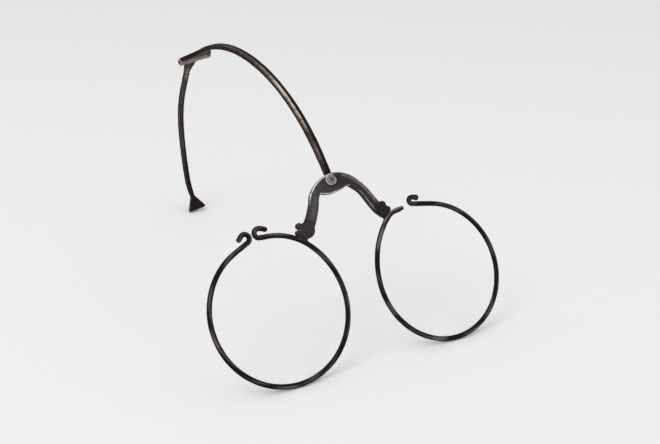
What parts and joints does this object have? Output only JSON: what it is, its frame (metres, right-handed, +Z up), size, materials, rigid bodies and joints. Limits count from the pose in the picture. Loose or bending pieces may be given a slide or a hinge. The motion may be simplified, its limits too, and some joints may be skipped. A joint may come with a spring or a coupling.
{
  "type": "over-the-head spectacles frame",
  "caption": "Forged iron spectacles frame with open wire rims, a saddle bridge and a hinged bar that lies over the head.",
  "frame": {"origin": "on the ground, under the middle of the object's width and depth in its standing pose", "axes": "+X to the viewer's right along the two rims, +Y from the rims back towards the end of the head bar, +Z up"},
  "size_m": [0.1024, 0.145, 0.0812],
  "materials": {
    "rim_iron": "wrought wire, worn dark brown-black oxide with bright rubbed spots",
    "bridge_iron": "forged and filed, charcoal with light worn bevels and reddish-brown feet",
    "brazing": "tarnished brown brazing",
    "rivet_iron": "hammered, mottled grey with a bright rim",
    "bar_iron": "forged strip, brown-black oxide with tan and cream worn streaks and dark pits",
    "pin_iron": "peened black iron"
  },
  "bodies": {
    "spectacle_frame": {"left_rim": "rim_iron", "right_rim": "rim_iron", "bridge": "bridge_iron", "left_braze": "brazing", "right_braze": "brazing", "rivet_rove": "rivet_iron", "pivot_rivet": "rivet_iron"},
    "front_head_bar": {"front_bar": "bar_iron", "hinge_pin": "pin_iron"},
    "rear_head_bar": {"rear_bar": "bar_iron"}
  },
  "joints": [
    {"name": "bar_swing", "type": "hinge", "parent": "spectacle_frame", "child": "front_head_bar", "pos_m": [-0.0011, -0.03931, 0.04855], "axis": [0, 0.8421, -0.5394], "range_deg": [-82, 98]},
    {"name": "rear_bar_fold", "type": "hinge", "parent": "front_head_bar", "child": "rear_head_bar", "pos_m": [-0.01154, 0.04694, 0.07006], "axis": [0.9877, 0.0844, 0.1317], "range_deg": [-100, 20]}
  ]
}
